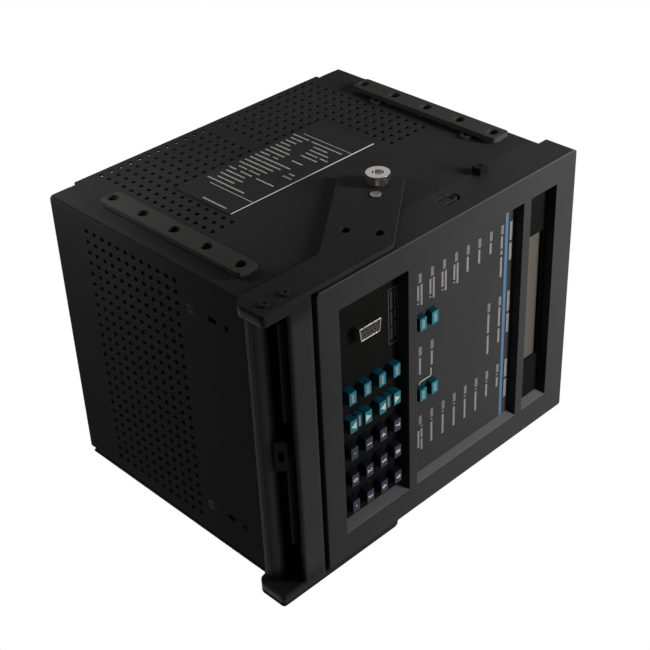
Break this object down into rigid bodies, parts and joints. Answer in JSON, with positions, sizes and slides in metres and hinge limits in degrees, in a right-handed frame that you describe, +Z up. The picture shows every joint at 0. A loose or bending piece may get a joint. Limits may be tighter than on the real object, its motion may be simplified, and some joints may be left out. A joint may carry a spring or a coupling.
{
  "type": "protection relay",
  "caption": "Withdrawable protection relay: perforated black chassis with side guide rails, front bezel with display, indicators, keypad and port, and a swing handle with latch.",
  "frame": {"origin": "middle of the bounding box at the level of the handle's foot", "axes": "+Z up, the front with keys and display faces -Y, +X to the right seen from the front"},
  "size_m": [0.2136, 0.2002, 0.2562],
  "materials": {
    "painted_steel": "satin black paint",
    "black_steel": "blackened steel",
    "black_plastic": "moulded black",
    "bezel_plastic": "fine texture",
    "display_glass": "smooth",
    "light_pipe": "frosted",
    "bright_metal": "nickel plate",
    "beige_plastic": "moulded",
    "circuit_board": "solder mask",
    "transformer_wrap": "varnish",
    "relay_case": "moulded",
    "nameplate_film": "printed film",
    "teal_key": "silicone",
    "navy_key": "silicone"
  },
  "bodies": {
    "unit": {"left_side_panel": "painted_steel", "right_side_panel": "painted_steel", "top_cover": "painted_steel", "bottom_pan": "painted_steel", "rear_panel": "painted_steel", "front_plate": "painted_steel", "bezel": "bezel_plastic", "display_window": "black_plastic", "display_module": "display_glass", "led_panel": "bezel_plastic", "led_light_pipes": "light_pipe", "keypad_plate": "black_plastic", "port_shell": "bright_metal", "port_insert": "beige_plastic", "guide_rails": "black_plastic", "rail_spacers": "black_plastic", "rail_screws": "black_steel", "nameplate": "nameplate_film", "chassis_screws": "black_steel", "pivot_pins": "bright_metal", "front_board": "circuit_board", "main_board": "circuit_board", "io_board": "circuit_board", "card_guides": "black_plastic", "transformers": "transformer_wrap", "output_relays": "relay_case", "rear_connectors": "black_plastic"},
    "handle": {"handle_grip": "bezel_plastic", "arm_left": "painted_steel", "arm_right": "painted_steel", "arm_screws": "painted_steel", "roller_pins": "bright_metal", "latch_spring": "bright_metal"},
    "latch": {"latch": "black_steel"},
    "roller_left": {"roller_left": "bright_metal"},
    "roller_right": {"roller_right": "bright_metal"},
    "panel_key_1": {"panel_key_1": "teal_key"},
    "panel_key_2": {"panel_key_2": "teal_key"},
    "panel_key_3": {"panel_key_3": "teal_key"},
    "panel_key_4": {"panel_key_4": "teal_key"},
    "key_r1c1": {"key_r1c1": "teal_key"},
    "key_r1c2": {"key_r1c2": "teal_key"},
    "key_r1c3": {"key_r1c3": "navy_key"},
    "key_r1c4": {"key_r1c4": "navy_key"},
    "key_r1c5": {"key_r1c5": "navy_key"},
    "key_r2c1": {"key_r2c1": "teal_key"},
    "key_r2c2": {"key_r2c2": "teal_key"},
    "key_r2c3": {"key_r2c3": "navy_key"},
    "key_r2c4": {"key_r2c4": "navy_key"},
    "key_r2c5": {"key_r2c5": "navy_key"},
    "key_r3c1": {"key_r3c1": "teal_key"},
    "key_r3c2": {"key_r3c2": "teal_key"},
    "key_r3c3": {"key_r3c3": "navy_key"},
    "key_r3c4": {"key_r3c4": "navy_key"},
    "key_r3c5": {"key_r3c5": "navy_key"},
    "key_r4c1": {"key_r4c1": "teal_key"},
    "key_r4c2": {"key_r4c2": "teal_key"},
    "key_r4c3": {"key_r4c3": "navy_key"},
    "key_r4c4": {"key_r4c4": "navy_key"},
    "key_r4c5": {"key_r4c5": "navy_key"}
  },
  "joints": [
    {"name": "handle_swing", "type": "hinge", "parent": "unit", "child": "handle", "pos_m": [0, -0.055, 0.1272], "axis": [-1, 0, 0], "range_deg": [0, 106]},
    {"name": "latch_lift", "type": "slide", "parent": "handle", "child": "latch", "axis": [0, 0, 1], "range_m": [0, 0.002], "stiffness_N_per_m": 800, "deforming": ["latch_spring"]},
    {"name": "roller_left_spin", "type": "hinge", "parent": "handle", "child": "roller_left", "pos_m": [-0.1042, -0.04677, 0.13765], "axis": [1, 0, 0], "continuous": true},
    {"name": "roller_right_spin", "type": "hinge", "parent": "handle", "child": "roller_right", "pos_m": [0.1042, -0.04677, 0.13765], "axis": [1, 0, 0], "continuous": true},
    {"name": "panel_key_1_press", "type": "slide", "parent": "unit", "child": "panel_key_1", "axis": [0, 1, 0], "range_m": [0, 0.0012], "stiffness_N_per_m": 600},
    {"name": "panel_key_2_press", "type": "slide", "parent": "unit", "child": "panel_key_2", "axis": [0, 1, 0], "range_m": [0, 0.0012], "stiffness_N_per_m": 600},
    {"name": "panel_key_3_press", "type": "slide", "parent": "unit", "child": "panel_key_3", "axis": [0, 1, 0], "range_m": [0, 0.0012], "stiffness_N_per_m": 600},
    {"name": "panel_key_4_press", "type": "slide", "parent": "unit", "child": "panel_key_4", "axis": [0, 1, 0], "range_m": [0, 0.0012], "stiffness_N_per_m": 600},
    {"name": "key_r1c1_press", "type": "slide", "parent": "unit", "child": "key_r1c1", "axis": [0, 1, 0], "range_m": [0, 0.0012], "stiffness_N_per_m": 600},
    {"name": "key_r1c2_press", "type": "slide", "parent": "unit", "child": "key_r1c2", "axis": [0, 1, 0], "range_m": [0, 0.0012], "stiffness_N_per_m": 600},
    {"name": "key_r1c3_press", "type": "slide", "parent": "unit", "child": "key_r1c3", "axis": [0, 1, 0], "range_m": [0, 0.0012], "stiffness_N_per_m": 600},
    {"name": "key_r1c4_press", "type": "slide", "parent": "unit", "child": "key_r1c4", "axis": [0, 1, 0], "range_m": [0, 0.0012], "stiffness_N_per_m": 600},
    {"name": "key_r1c5_press", "type": "slide", "parent": "unit", "child": "key_r1c5", "axis": [0, 1, 0], "range_m": [0, 0.0012], "stiffness_N_per_m": 600},
    {"name": "key_r2c1_press", "type": "slide", "parent": "unit", "child": "key_r2c1", "axis": [0, 1, 0], "range_m": [0, 0.0012], "stiffness_N_per_m": 600},
    {"name": "key_r2c2_press", "type": "slide", "parent": "unit", "child": "key_r2c2", "axis": [0, 1, 0], "range_m": [0, 0.0012], "stiffness_N_per_m": 600},
    {"name": "key_r2c3_press", "type": "slide", "parent": "unit", "child": "key_r2c3", "axis": [0, 1, 0], "range_m": [0, 0.0012], "stiffness_N_per_m": 600},
    {"name": "key_r2c4_press", "type": "slide", "parent": "unit", "child": "key_r2c4", "axis": [0, 1, 0], "range_m": [0, 0.0012], "stiffness_N_per_m": 600},
    {"name": "key_r2c5_press", "type": "slide", "parent": "unit", "child": "key_r2c5", "axis": [0, 1, 0], "range_m": [0, 0.0012], "stiffness_N_per_m": 600},
    {"name": "key_r3c1_press", "type": "slide", "parent": "unit", "child": "key_r3c1", "axis": [0, 1, 0], "range_m": [0, 0.0012], "stiffness_N_per_m": 600},
    {"name": "key_r3c2_press", "type": "slide", "parent": "unit", "child": "key_r3c2", "axis": [0, 1, 0], "range_m": [0, 0.0012], "stiffness_N_per_m": 600},
    {"name": "key_r3c3_press", "type": "slide", "parent": "unit", "child": "key_r3c3", "axis": [0, 1, 0], "range_m": [0, 0.0012], "stiffness_N_per_m": 600},
    {"name": "key_r3c4_press", "type": "slide", "parent": "unit", "child": "key_r3c4", "axis": [0, 1, 0], "range_m": [0, 0.0012], "stiffness_N_per_m": 600},
    {"name": "key_r3c5_press", "type": "slide", "parent": "unit", "child": "key_r3c5", "axis": [0, 1, 0], "range_m": [0, 0.0012], "stiffness_N_per_m": 600},
    {"name": "key_r4c1_press", "type": "slide", "parent": "unit", "child": "key_r4c1", "axis": [0, 1, 0], "range_m": [0, 0.0012], "stiffness_N_per_m": 600},
    {"name": "key_r4c2_press", "type": "slide", "parent": "unit", "child": "key_r4c2", "axis": [0, 1, 0], "range_m": [0, 0.0012], "stiffness_N_per_m": 600},
    {"name": "key_r4c3_press", "type": "slide", "parent": "unit", "child": "key_r4c3", "axis": [0, 1, 0], "range_m": [0, 0.0012], "stiffness_N_per_m": 600},
    {"name": "key_r4c4_press", "type": "slide", "parent": "unit", "child": "key_r4c4", "axis": [0, 1, 0], "range_m": [0, 0.0012], "stiffness_N_per_m": 600},
    {"name": "key_r4c5_press", "type": "slide", "parent": "unit", "child": "key_r4c5", "axis": [0, 1, 0], "range_m": [0, 0.0012], "stiffness_N_per_m": 600}
  ]
}
